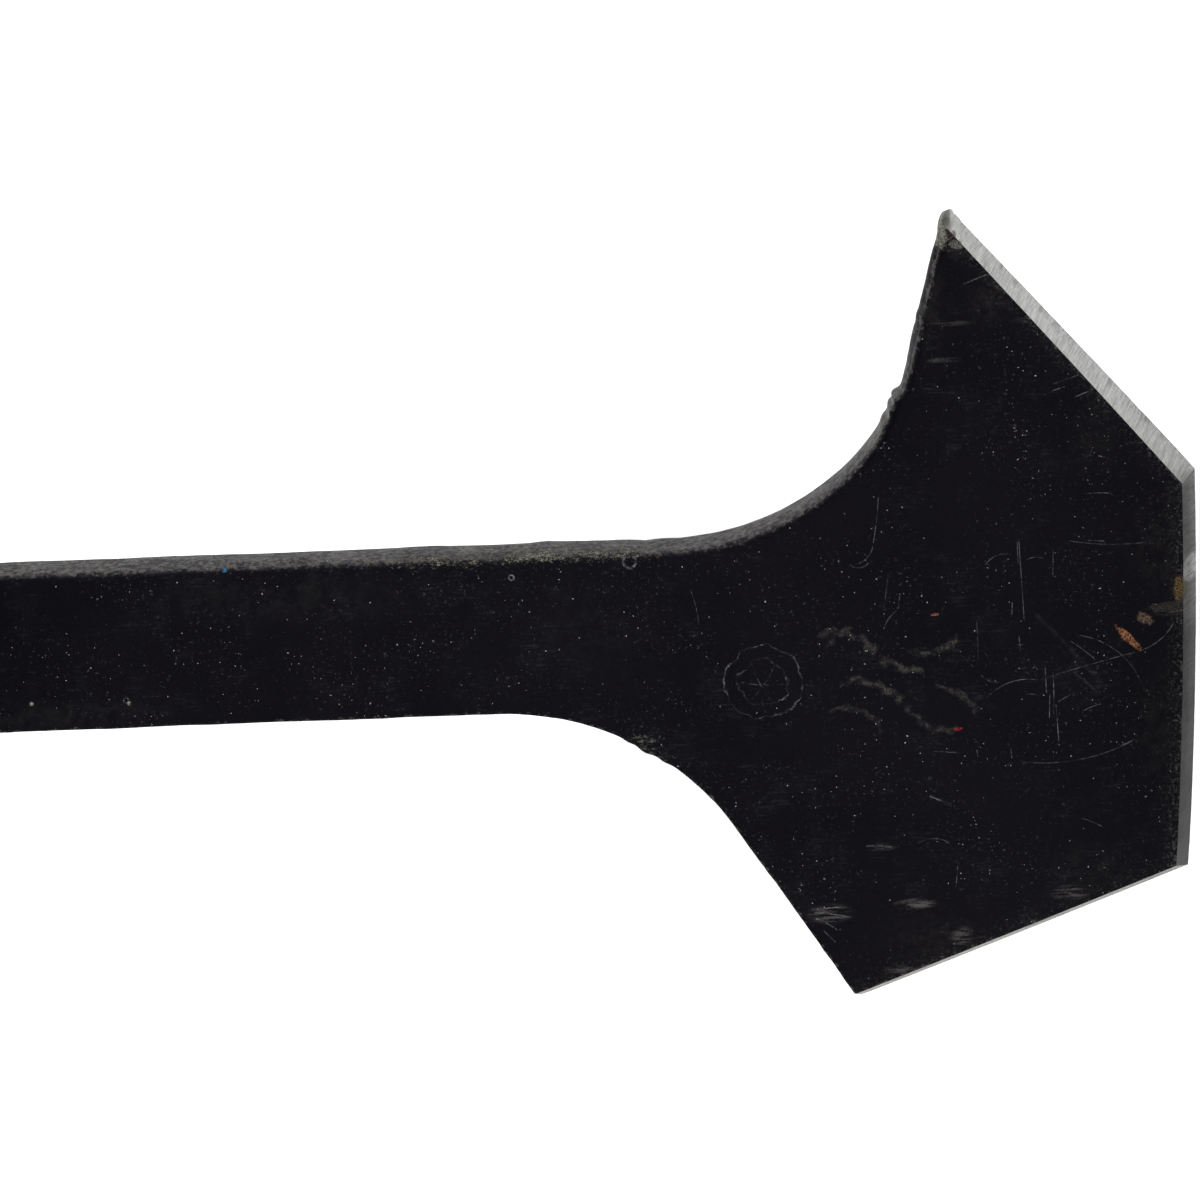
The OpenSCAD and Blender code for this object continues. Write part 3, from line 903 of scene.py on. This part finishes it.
def fill_points(outline, normals):
    """Points inside the outline: rows that follow it closely, then an even scatter."""
    loop = search_tree([p for p, _ in outline])

    def depth(p):
        """Rough distance inside the outline, negative outside."""
        index, distance = nearest(loop, p)
        q = outline[index][0]
        return distance if (q - p).dot(normals[index]) > 0 else -distance

    points = []
    for inset in (0.03, 0.1, 0.22, 0.4, 0.62, 0.9):
        for i, (p, _) in enumerate(outline):
            q = p - normals[i] * inset
            if depth(q) > 0.96 * inset:
                points.append(q)
    z = 0
    row = 0
    while z < TOTAL_L:
        step = 0.55 if z < FINE_UNTIL else 1.1 if z < TANG_Z + 2 else 3 if z < 276 else 0.6
        z += step * 0.87
        row += 1
        reach = NECK_R["reach"] + 0.4 if z < FINE_UNTIL else BAR_HALF + 1
        x = -reach + (row % 2) * step / 2
        while x < reach:
            p = Vector((x + 0.12 * step * rough(x, 5, z, 0.9), z + 0.12 * step * rough(x, 8, z, 0.9)))
            if depth(p) > 0.9 + 0.35 * step:
                points.append(p)
            x += step
    return points


def crease(edge, step=0.3):
    """The arc where a bevel leaves the face, carried a little past the tips."""
    past = {id(EDGES[0]): (2.5, 0), id(EDGES[2]): (0, 2.5)}.get(id(edge), (0, 0))
    points = spaced(edge.a - edge.along * past[0], edge.b + edge.along * past[1], step)
    points.append(edge.b + edge.along * past[1])
    for i, p in enumerate(points):
        if min((p - edge.a).length, (p - edge.b).length) >= 1e-4:
            points[i] = p - edge.outward(p) * edge.beyond(p)
    return points


def triangulate(outline, inner):
    """Triangles inside the outline that keep the bevels' creases and mitres as edges."""
    points = [p for p, _ in outline]
    loop = list(range(len(points)))
    edges = []
    chains = [crease(edge) for edge in EDGES]
    chains.append(spaced(CORNER_L, outer_corner(EDGES[0], EDGES[1], CORNER_L), 0.3))
    chains.append(spaced(CORNER_R, outer_corner(EDGES[1], EDGES[2], CORNER_R), 0.3))
    chains[3].append(points[0])
    chains[4].append(outer_corner(EDGES[1], EDGES[2], CORNER_R))
    for chain in chains:
        first = len(points)
        points += chain
        edges += [(first + i, first + i + 1) for i in range(len(chain) - 1)]
    creases = search_tree([p for chain in chains for p in chain])
    points += [p for p in inner if nearest(creases, p)[1] > 0.2]
    places, _, triangles = geometry.delaunay_2d_cdt(points, edges, [loop], 1, 1e-5)[:3]
    used = sorted({i for triangle in triangles for i in triangle})
    order = {old: new for new, old in enumerate(used)}
    return [places[i] for i in used], [tuple(order[i] for i in triangle) for triangle in triangles]


def boundary_loop(triangles):
    """The outer loop of a set of triangles, in the triangles' own direction."""
    directed = {(t[i], t[(i + 1) % 3]) for t in triangles for i in range(3)}
    follow = {a: b for a, b in directed if (b, a) not in directed}
    start = next(iter(follow))
    loop = [start]
    while follow[loop[-1]] != start:
        loop.append(follow[loop[-1]])
    return loop


def chisel_mesh(materials):
    """The whole forging as one closed mesh."""
    outline = plan_outline()
    normals = outward_normals([p for p, _ in outline])
    outline = [(p + normals[i] * side_bulge(p, kind), kind) for i, (p, kind) in enumerate(outline)]
    outline = [(Vector((min(p.x, NECK_R["reach"]), min(p.y, TOTAL_L))), kind) for p, kind in outline]
    normals = outward_normals([p for p, _ in outline])
    walls = Walls(outline, normals)
    plan, triangles = triangulate(outline, fill_points(outline, normals))
    a, b, c = (plan[i] for i in triangles[0])
    if (b - a).cross(c - a) < 0:
        triangles = [t[::-1] for t in triangles]

    count = len(plan)
    front = [front_surface(p, walls) for p in plan]
    back = [max(back_surface(p, walls), f + 0.1) for p, f in zip(plan, front)]
    vertices = [(p.x, y, p.y) for p, y in zip(plan, front)] + [(p.x, y, p.y) for p, y in zip(plan, back)]
    faces, slots = [], []
    for t in triangles:
        middle = (plan[t[0]] + plan[t[1]] + plan[t[2]]) / 3
        reach = [edge.beyond(middle) for edge in EDGES]
        ground = max(reach) > 0
        faces.append(t)
        slots.append(1 + reach.index(max(reach)) if ground else 0)
        faces.append(tuple(count + i for i in reversed(t)))
        slots.append(0)

    loop = boundary_loop(triangles)
    out = outward_normals([plan[i] for i in loop])
    rows = 9
    rings = [loop]
    for k in range(1, rows):
        ring = []
        share = k / rows
        for i, normal in zip(loop, out):
            p = plan[i]
            y = front[i] + (back[i] - front[i]) * share
            thick = smooth(0.3, 2, back[i] - front[i])
            visible = 1 - gripped(p.y)
            arch = 0.1 * (1 - (2 * share - 1) ** 2)
            pits = 0.09 * rough(p.x, y, p.y, 2.2, 3) + 0.05 * rough(p.x, y, p.y, 0.8, 6)
            top = smooth(TOTAL_L - 0.7, TOTAL_L - 0.1, p.y)
            battered = -0.05 - 0.16 * smooth(-0.2, 0.5, rough(p.x, y, 0, 2.4, 2)) - 0.1 * abs(pits)
            flank = smooth(26, 36, p.x) * (1 - smooth(48.4, 50.2, p.x)) * smooth(0.3, 0.8, normal.y)
            ridge = FLANK_RIDGE * flank * math.sin(math.pi * share) ** 0.7
            push = thick * visible * ((1 - top) * (arch + pits + ridge) + top * battered)
            q = p + normal * push
            ring.append(len(vertices))
            vertices.append((min(q.x, NECK_R["reach"]), y, min(q.y, TOTAL_L)))
        rings.append(ring)
    rings.append([count + i for i in loop])
    for upper, lower in zip(rings, rings[1:]):
        for i in range(len(loop)):
            j = (i + 1) % len(loop)
            faces.append((upper[j], upper[i], lower[i], lower[j]))
            slots.append(0)
    return new_mesh("forged_chisel", vertices, faces, materials, slots), loop, plan


# Patches of another tone on the front and right bevels: middle, size across and up, colour.
FRONT_TONES = [
    ((8, 1.5), (12, 5), (0.2, 0.199, 0.196)), ((-28, 2.5), (9.5, 5), (0.034, 0.034, 0.033)),
    ((5, 0.9), (2, 1.3), (0.5, 0.5, 0.49)), ((2.6, 1.7), (1.4, 0.5), (0.14, 0.1, 0.05)),
]
TIP_TONES = [
    ((50.4, 29.7), (1.5, 1.2), (0.05, 0.05, 0.043)), ((49.3, 29.4), (1.1, 0.8), (0.05, 0.049, 0.036)),
    ((48.2, 28.6), (0.6, 0.5), (0.05, 0.049, 0.038)), ((47.2, 27.85), (0.4, 0.35), (0.07, 0.069, 0.058)),
]
# Bare steel and caked dirt on the chisel: place on the flat, reach, strength.
BARE_SPOTS = [((50.4, 29.4), 1, 0.85), ((-14.8, 66.8), 1.2, 0.3), ((-48.8, 42), 0.5, 0.25)]
DIRTY_SPOTS = [
    ((-14.4, 66.9), 1.9, 0.62), ((-16.6, 64.8), 1, 0.5), ((49.3, 29.7), 1, 1.3), ((48.3, 29.9), 1, 1.3),
    ((47.2, 30.1), 0.9, 1.1), ((46.5, 28.6), 0.6, 0.4), ((9.7, 68.6), 1, 0.7),
]


def wear_attributes(piece, loop, plan):
    """Per-vertex wear: nearness to edges and bevels, bare steel and caked dirt."""
    rims = search_tree([plan[k] for k in loop] + [p for edge in EDGES for p in crease(edge, 0.6)])
    fleck_share = (0.45, 1, 0.4)
    near, bare, dirt, flecked, rim = [], [], [], [], []
    for vertex in piece.data.vertices:
        x, y, z = vertex.co / MM
        p = Vector((x, z))
        gap = nearest(rims, p)[1]
        beyond = [edge.beyond(p) for edge in EDGES]
        near.append(bump_at(gap, 0.7))
        flecks = max(share * bump_at(max(0, -b), 1.4) for share, b in zip(fleck_share, beyond))
        flecked.append(flecks if y < 0 else 0.4 * flecks)
        width = bevel_width(p)
        rim.append(smooth(0.35 * width, width, max(beyond)) if width > 0.1 else 0)
        limit = TOTAL_L - 3.6 + 1.5 * rough(x, y, z, 4, 7) + 0.8 * rough(x, y, z, 1.5, 3)
        struck = 0.9 * smooth(limit - 1.2, limit + 1.6, z)
        bare.append(max(struck, max(s * bump_at((p - Vector(at)).length, r) for at, r, s in BARE_SPOTS)))
        # Clay sticks along the front corner of the bar's right side, just above the head.
        along = smooth(60, 68, z) * (1 - 0.55 * smooth(92, 100, z)) * (1 - smooth(108, 124, z))
        along *= 0.9 + 0.3 * rough(0, 0, z, 5.5, 4)
        corner = 0.7 * smooth(8.6, 9.6, x) * bump_at(max(0, y - FRONT_Y - 1), 0.9) * along
        spots = max(s * bump_at((p - Vector(at)).length, r) for at, r, s in DIRTY_SPOTS)
        dirt.append(max(corner, 0.34 * smooth(9.2, 9.75, x) * along, spots))
    layers = {"near_edge": near, "bare": bare, "dirt": dirt, "flecked": flecked, "rim": rim}
    for name, values in layers.items():
        piece.data.attributes.new(name, "FLOAT", "POINT").data.foreach_set("value", values)


def build_chisel():
    left, front, right = (edge.along for edge in EDGES)
    materials = [
        black_paint(),
        # The same ground steel on all three bevels: the left and front ones are painted much darker than the
        # right one, as painted shade.
        ground_steel("ground_left_edge_painted_shade", left, (0.045, 0.041, 0.031), (0.1, 0.09, 0.068), 0.5, (), 0.2),
        ground_steel("ground_front_edge_painted_shade", front, (0.044, 0.044, 0.043), (0.073, 0.073, 0.071), 0.5,
                     FRONT_TONES),
        ground_steel("ground_right_edge", right, (0.22, 0.22, 0.215), (0.4, 0.4, 0.39), 0.12, TIP_TONES),
    ]
    piece, loop, plan = chisel_mesh(materials)
    wear_attributes(piece, loop, plan)
    piece.data.set_sharp_from_angle(angle=math.radians(38))
    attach(piece, "root")
    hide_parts("chisel_body")


# ---- grip

def moulded(name, colour, dust_colour, texture, specular=0.35):
    """Moulded plastic or rubber: fine texture, dusty hollows and polished, scuffed crests."""
    n = Nodes(name)
    broad = n.noise(18, 4)
    cloudy = n.noise(4, 6, 0.65)
    grain = n.noise(texture, 3, 0.6)
    fine = n.noise(texture * 0.4, 2, 0.5)
    hollow = n.attribute("hollow")
    pale = tuple(min(1, 1.5 * c + 0.004) for c in colour)
    base = n.mix(n.ramp(broad, 0.35, 0.65), colour, pale)
    dusty = n.times(n.ramp(cloudy, 0.5, 0.75), n.ramp(grain, 0.4, 0.7))
    settled = n.times(hollow, n.ramp(n.noise(5, 5, 0.7, offset=(6, 2, 8)), 0.36, 0.7, 0.25, 0.75))
    settled = n.math("MAXIMUM", n.times(dusty, 0.35), settled)
    base = n.mix(n.times(settled, 0.6), base, dust_colour)
    specks = strongest(n, [n.specks(0.7, 0.09, 0.12), n.specks(2, 0.2, 0.14, (3, 8, 5))])
    base = n.mix(n.times(specks, 0.6), base, tuple(min(1, 2 * c) for c in dust_colour))
    scrape = n.times(n.ramp(n.noise(0.7, 4, 0.6, (4, 4, 0.3)), 0.62, 0.75), n.ramp(cloudy, 0.5, 0.7))
    base = n.mix(n.times(scrape, 0.3), base, dust_colour)
    roughness = n.ramp(cloudy, 0.3, 0.7, 0.44, 0.58)
    roughness = n.blend(hollow, roughness, 0.85)
    height = n.plus(n.times(grain, 0.7), n.times(fine, 0.3))
    normal = n.bump(height, 0.14, 0.9)
    return n.finish(base, roughness, normal, Specular_IOR_Level=specular)


def spring_metal(name):
    """Tempered spring steel: dull grey-blue, rolled fine lines and a little rust in the corners."""
    n = Nodes(name)
    lines = n.noise(0.25, 4, 0.65, (14, 1, 14))
    cloudy = n.noise(3, 5, 0.65)
    colour = n.mix(n.ramp(cloudy, 0.3, 0.7), (0.13, 0.135, 0.15), (0.24, 0.24, 0.25))
    rusty = n.ramp(n.noise(1.6, 6, 0.7, offset=(4, 4, 4)), 0.58, 0.68)
    colour = n.mix(n.times(rusty, 0.6), colour, (0.2, 0.1, 0.045))
    roughness = n.blend(rusty, n.ramp(lines, 0.3, 0.7, 0.3, 0.45), 0.8)
    n.link(n.blend(rusty, 1, 0.3), n.shader.inputs["Metallic"])
    return n.finish(colour, roughness, n.bump(lines, 0.02, 0.6))


SPINE = 6.5


def oval_station(share):
    """Foot on the grip's spine and outward direction, share of the way round the oval."""
    quarter = share * 4
    if quarter < 1:
        return Vector((SPINE * (2 * quarter - 1), 0)), Vector((0, -1))
    if quarter < 2:
        angle = math.pi * (quarter - 1.5)
        return Vector((SPINE, 0)), Vector((math.cos(angle), math.sin(angle)))
    if quarter < 3:
        return Vector((SPINE * (5 - 2 * quarter), 0)), Vector((0, 1))
    angle = math.pi * (quarter - 2.5)
    return Vector((-SPINE, 0)), Vector((math.cos(angle), math.sin(angle)))


def oval_sweep(name, profile, shape, stations, material):
    """Closed profile of (distance out, height) swept round the oval. shape may move each point."""
    shares = []
    straight, bend = stations
    for quarter in range(4):
        count = straight if quarter % 2 == 0 else bend
        shares += [(quarter + i / count) / 4 for i in range(count)]
    vertices = []
    for share in shares:
        foot, out = oval_station(share)
        for d, z in profile:
            d, z = shape(d, z, share, out)
            vertices.append((foot.x + out.x * d, foot.y + out.y * d, z))
    rows, columns = len(profile), len(shares)
    faces = []
    for i in range(columns):
        j = (i + 1) % columns
        for k in range(rows):
            m = (k + 1) % rows
            faces.append((i * rows + k, j * rows + k, j * rows + m, i * rows + m))
    return new_mesh(name, vertices, faces, [material])


def rounded_profile(corners, step=0.25):
    """Closed profile from (distance, height, corner radius), anticlockwise."""
    points = []
    places = [Vector((d, z)) for d, z, _ in corners]
    for i, (_, _, radius) in enumerate(corners):
        before, corner, after = places[i - 1], places[i], places[(i + 1) % len(corners)]
        if radius:
            points += rounded_corner(before, corner, after, radius, step)
        else:
            points.append(corner)
    return [(p.x, p.y) for p in points]


def seam(out, height=0.12):
    """Mould parting line: a low ridge on the two ends of the oval."""
    return height * bump_at(out.y, 0.035)


def build_cover(material):
    """Soft ribbed cover."""
    inner = CORE_HI.x - 3 - SPINE
    outer = COVER_HI.x - SPINE
    z0, z1 = COVER_LO.z, COVER_HI.z
    count = 13
    pitch = (z1 - z0) / (count + 2)
    heights = [z0 + 0.45 + (z1 - z0 - 0.9) * i / 300 for i in range(301)]

    def crest(z):
        """Depth of the cover's grooves at height z."""
        turn = (z - z0) / pitch - 0.5
        if turn < 0.5 or turn > count + 0.5:
            return 0
        offset = abs(turn - round(turn))
        return 1.15 * (1 - smooth(0.07, 0.27, offset)) - 0.12 * smooth(0.3, 0.5, offset)

    profile = [(inner, z0), (outer - 0.9, z0), (outer - 0.35, z0 + 0.12)]
    profile += [(outer, z) for z in heights]
    profile += [(outer - 0.35, z1 - 0.12), (outer - 0.9, z1), (inner, z1)]
    profile += [(inner, z1 - (z1 - z0) * i / 20) for i in range(1, 20)]

    def shape(d, z, share, out):
        if d < outer - 0.01:
            return d, z
        swell = -0.35 + 0.35 * math.sin(math.pi * (z - z0) / (z1 - z0))
        ends = 0.5 * (smooth(z0 + 1.6, z0, z) + smooth(z1 - 1.6, z1, z))
        return d + swell - crest(z) - ends * 0.3 + seam(out, 0.1) * (1 - crest(z)), z

    piece = oval_sweep("ribbed_grip_cover", profile, shape, (16, 56), material)
    hollow = [smooth(0.35, 1, crest(vertex.co.z / MM)) for vertex in piece.data.vertices]
    piece.data.attributes.new("hollow", "FLOAT", "POINT").data.foreach_set("value", hollow)
    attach(piece, "root")
    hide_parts("grip_cover")


def build_guard(material):
    """Mushroom guard with stiffening ribs moulded under its web."""
    inner = CORE_HI.x - 3 - SPINE
    cover = COVER_HI.x - SPINE
    reach = GUARD_HI.x - SPINE
    z0, z1 = GUARD_LO.z, GUARD_HI.z
    web, rim = z1 - 5.5, z1 - 9
    profile = rounded_profile([
        (inner, z0, 0.2), (cover + 1, z0, 0.5), (cover + 1.6, web - 3, 1.2), (cover + 3, web - 2, 0.8),
        (reach - 3.2, rim - 1, 1), (reach - 1, rim - 1.5, 1), (reach, rim, 1),
        (reach, rim + 2.5, 1.4), (reach - 1.8, rim + 4.5, 1.6), (reach - 7, web + 3, 4),
        (inner + 5.2, z1 - 0.4, 1.6), (inner + 4, z1, 0.4), (inner, z1, 0.3),
    ], 0.35)
    rib_count = 20

    def shape(d, z, share, out):
        under = z < web - 0.6 and cover + 2.2 < d < reach - 2.4
        if under:
            turn = abs(share * rib_count - round(share * rib_count))
            rib = 1 - smooth(0.06, 0.12, turn)
            depth = smooth(cover + 2.2, cover + 3.6, d) * (1 - smooth(reach - 4.5, reach - 2.4, d))
            return d, max(z - 1.7 * rib * depth, min(z, rim - 0.9))
        return d + seam(out, 0.12) * (d > reach - 1), z

    piece = oval_sweep("moulded_hand_guard", profile, shape, (80, 160), material)
    piece.data.set_sharp_from_angle(angle=math.radians(50))
    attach(piece, "root")
    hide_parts("hand_guard")


def build_grip():
    cover = moulded("soft_cover_rubber", (0.008, 0.0083, 0.009), (0.045, 0.043, 0.039), 0.5, 0.3)
    guard = moulded("guard_rubber", (0.006, 0.0062, 0.0068), (0.055, 0.053, 0.048), 0.6, 0.3)
    core = moulded("hard_core_plastic", (0.003, 0.003, 0.0035), (0.04, 0.038, 0.035), 0.35, 0.42)
    build_cover(cover)
    build_guard(guard)
    steel = spring_metal("tempered_spring_steel")
    for node, material in (("grip_core", core), ("retaining_plate", steel), ("spring_pin", steel)):
        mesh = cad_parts[node].data
        for i in range(len(mesh.materials)):
            mesh.materials[i] = material


# ---- stage, light and camera

def plain_white(name, value):
    n = Nodes(name)
    tone = n.mix(n.noise(400, 2), (value, value, value), (value * 0.99, value * 0.99, value * 0.985))
    return n.finish(tone, 0.9, n.bump(n.noise(3, 2), 0.01, 0.1), Specular_IOR_Level=0.1)


def build_stage():
    """A pale floor just under the cutting edge."""
    half, level = 30000, -0.75
    corners = [(-half, -half, level), (half, -half, level), (half, half, level), (-half, half, level)]
    new_mesh("pale_floor", corners, [(0, 1, 2, 3)], [plain_white("floor_white", 0.93)])


def area_light(name, place, aim, size, power):
    data = bpy.data.lights.new(name, "AREA")
    data.shape = "DISK"
    data.size = size
    data.energy = power
    light = bpy.data.objects.new(name, data)
    light.location = place
    light.rotation_euler = (Vector(aim) - Vector(place)).to_track_quat("-Z", "Y").to_euler()
    bpy.context.scene.collection.objects.link(light)


def build_light():
    """A white studio that is dim only towards the camera's side, and two large soft lamps."""
    world = bpy.data.worlds.new("studio")
    world.use_nodes = True
    tree = world.node_tree
    place = tree.nodes.new("ShaderNodeTexCoord")
    split = tree.nodes.new("ShaderNodeSeparateXYZ")
    room = tree.nodes.new("ShaderNodeMapRange")
    room.interpolation_type = "SMOOTHSTEP"
    tree.links.new(place.outputs["Generated"], split.inputs[0])
    tree.links.new(split.outputs["Y"], room.inputs["Value"])
    for name, value in (("From Min", -0.75), ("From Max", -0.1), ("To Min", 0.12), ("To Max", 1.4)):
        room.inputs[name].default_value = value
    backdrop = tree.nodes["Background"]
    backdrop.inputs["Color"].default_value = (1, 1, 1, 1)
    tree.links.new(room.outputs["Result"], backdrop.inputs["Strength"])
    bpy.context.scene.world = world
    bpy.context.scene.view_settings.view_transform = "Standard"
    area_light("key", (1.3, -0.5, 1.4), (0, 0, 0.1), 1.2, 22)
    area_light("rim", (-1, 1.2, 1.5), (0, 0, 0.15), 1.2, 12)


def build_camera():
    """Looks squarely across the bar, which lies across the picture, from 20 degrees round to the long tip."""
    swing, roll = math.radians(20), math.radians(2.15)
    target = Vector((3.15, 0, 71.7)) * MM
    back = Vector((math.sin(swing), -math.cos(swing), 0))
    across = Vector((math.cos(swing), math.sin(swing), 0))
    down = Vector((0, 0, -1))
    right = math.cos(roll) * down - math.sin(roll) * across
    up = math.sin(roll) * down + math.cos(roll) * across
    data = bpy.data.cameras.new("camera")
    data.lens = 240
    data.sensor_width = 36
    data.clip_start, data.clip_end = 0.05, 100
    camera = bpy.data.objects.new("camera", data)
    turned = Matrix((right, up, back)).transposed().to_4x4()
    camera.matrix_world = Matrix.Translation(target + back * 0.96) @ turned
    bpy.context.scene.collection.objects.link(camera)
    bpy.context.scene.camera = camera


build_camera()
build_stage()
build_light()
build_chisel()
build_grip()
